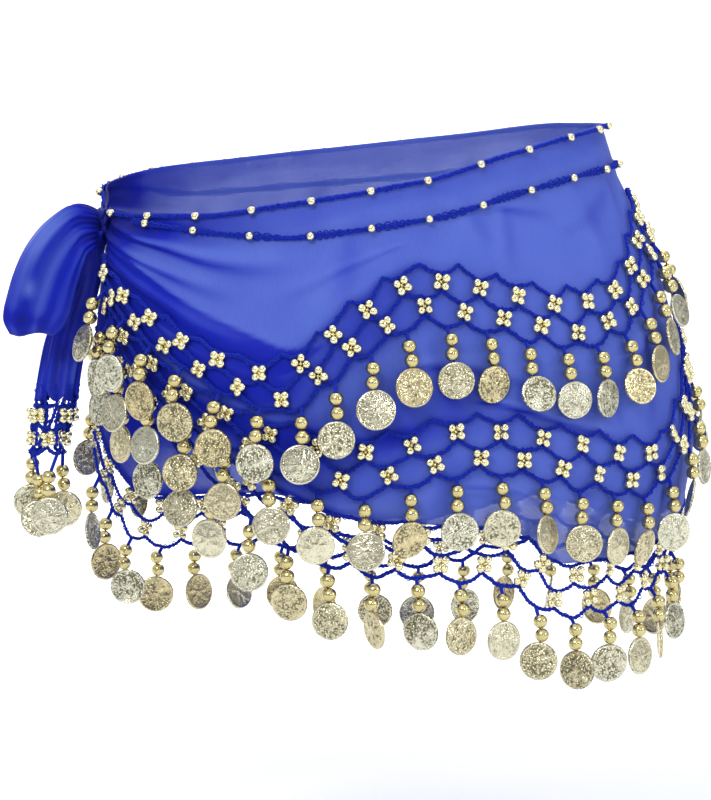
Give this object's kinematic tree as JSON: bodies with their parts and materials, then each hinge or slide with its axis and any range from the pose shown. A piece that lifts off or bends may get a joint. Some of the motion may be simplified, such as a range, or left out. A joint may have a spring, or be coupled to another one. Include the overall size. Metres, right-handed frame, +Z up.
{
  "type": "belly dance hip scarf",
  "caption": "Sheer hip scarf wound round the hips and tied in a bow at the left side, with scalloped crochet net bands, gilt beads and coin dangles.",
  "frame": {"origin": "middle of the waist opening, at the height of the top edge over the middle of the front, where the wearer's hips hold the scarf", "axes": "+Z up; -Y is the front that shows; -X is the knotted side; +X is the other hip"},
  "size_m": [0.388, 0.2634, 0.2899],
  "materials": {
    "chiffon": "sheer crinkled royal blue chiffon with a soft sheen",
    "crochet_cord": "matt dark blue crochet chain cord",
    "gilt_metal": "polished pale gold plating on beads",
    "coin_metal": "bright pale gold embossed coin with grey wear in its relief"
  },
  "bodies": {
    "root": {"bead_line_back": "crochet_cord", "bead_line_front": "crochet_cord", "bow_loop": "chiffon", "cloth_back": "chiffon", "cloth_front": "chiffon", "edge_cord_back": "crochet_cord", "edge_cord_front": "crochet_cord", "fringe_a_back": "gilt_metal", "fringe_a_front": "gilt_metal", "fringe_b_back": "gilt_metal", "fringe_b_front": "gilt_metal", "fringe_c_back": "gilt_metal", "fringe_c_front": "gilt_metal", "knot": "chiffon", "net_a_back": "crochet_cord", "net_a_front": "crochet_cord", "net_b_back": "crochet_cord", "net_b_front": "crochet_cord", "net_c_back": "crochet_cord", "net_c_front": "crochet_cord", "tail_cloth": "chiffon", "tail_fringe": "gilt_metal", "tail_net": "crochet_cord"}
  },
  "joints": []
}
